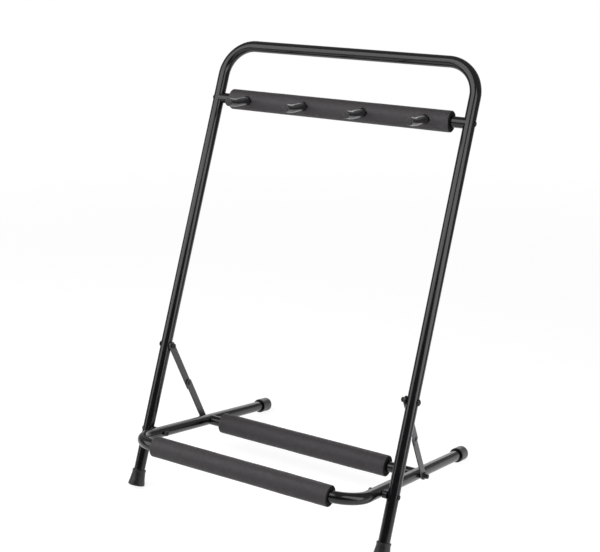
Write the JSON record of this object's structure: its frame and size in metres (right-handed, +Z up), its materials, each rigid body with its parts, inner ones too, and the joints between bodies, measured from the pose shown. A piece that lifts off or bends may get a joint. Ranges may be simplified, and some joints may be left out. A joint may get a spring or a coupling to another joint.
{
  "type": "guitar stand",
  "caption": "Folding floor stand that holds guitars side by side: leaning tube frame with foam bars, neck pegs, a pivoted base and folding braces.",
  "frame": {"origin": "on the floor, under the middle of the open stand's box", "axes": "+X across the stand to the right as seen from its front, +Y to its back, +Z up"},
  "size_m": [0.501, 0.4428, 0.7334],
  "materials": {
    "black_paint": "satin black powder coat on steel tube",
    "link_steel": "dark grey painted flat steel",
    "black_fastener": "black oxide steel fasteners",
    "foam": "matte dark grey closed-cell foam",
    "vinyl": "glossy black vinyl",
    "rubber": "matte dark grey moulded rubber"
  },
  "bodies": {
    "main_frame": {"main_frame_tube": "black_paint", "top_crossbar": "black_paint", "top_crossbar_plugs": "black_fastener", "top_crossbar_bolts": "black_fastener", "top_foam": "foam", "peg_rods": "black_fastener", "peg_sleeve_1": "vinyl", "peg_sleeve_2": "vinyl", "peg_sleeve_3": "vinyl", "peg_sleeve_4": "vinyl", "foot_left": "rubber", "foot_right": "rubber", "pivot_bolts": "black_fastener", "pivot_spacers": "black_fastener", "pivot_nuts": "black_fastener", "upper_brace_bolts": "black_fastener", "upper_brace_washers": "black_fastener", "upper_brace_nuts": "black_fastener"},
    "base_frame": {"base_frame_tube": "black_paint", "rear_crossbar": "black_paint", "rear_crossbar_plugs": "black_fastener", "front_foam": "foam", "rear_foam": "foam", "rear_cap_left": "rubber", "rear_cap_right": "rubber", "lower_brace_bolts": "black_fastener", "lower_brace_washers": "black_fastener"},
    "upper_link_left": {"upper_link_left": "link_steel", "upper_rivet_left": "black_fastener"},
    "lower_link_left": {"lower_link_left": "link_steel", "lower_rivet_left": "black_fastener"},
    "upper_link_right": {"upper_link_right": "link_steel", "upper_rivet_right": "black_fastener"},
    "lower_link_right": {"lower_link_right": "link_steel", "lower_rivet_right": "black_fastener"}
  },
  "joints": [
    {"name": "base_fold", "type": "hinge", "parent": "main_frame", "child": "base_frame", "pos_m": [0, -0.12526, 0.0954], "axis": [1, 0, 0], "range_deg": [0, 73]},
    {"name": "upper_link_turn_left", "type": "hinge", "parent": "main_frame", "child": "upper_link_left", "pos_m": [-0.236, -0.06466, 0.23152], "axis": [1, 0, 0], "range_deg": [-44.2, 0]},
    {"name": "lower_link_turn_left", "type": "hinge", "parent": "base_frame", "child": "lower_link_left", "pos_m": [-0.236, 0.02095, 0.05976], "axis": [1, 0, 0], "range_deg": [0, 53.3]},
    {"name": "upper_link_turn_right", "type": "hinge", "parent": "main_frame", "child": "upper_link_right", "pos_m": [0.236, -0.06466, 0.23152], "axis": [1, 0, 0], "range_deg": [-44.2, 0]},
    {"name": "lower_link_turn_right", "type": "hinge", "parent": "base_frame", "child": "lower_link_right", "pos_m": [0.236, 0.02095, 0.05976], "axis": [1, 0, 0], "range_deg": [0, 53.3]}
  ],
  "couplings": [
    {"joint": "upper_link_turn_left", "follows": "base_fold", "ratio": -0.59866},
    {"joint": "lower_link_turn_left", "follows": "base_fold", "ratio": 0.72322},
    {"joint": "upper_link_turn_right", "follows": "base_fold", "ratio": -0.59866},
    {"joint": "lower_link_turn_right", "follows": "base_fold", "ratio": 0.72322}
  ]
}
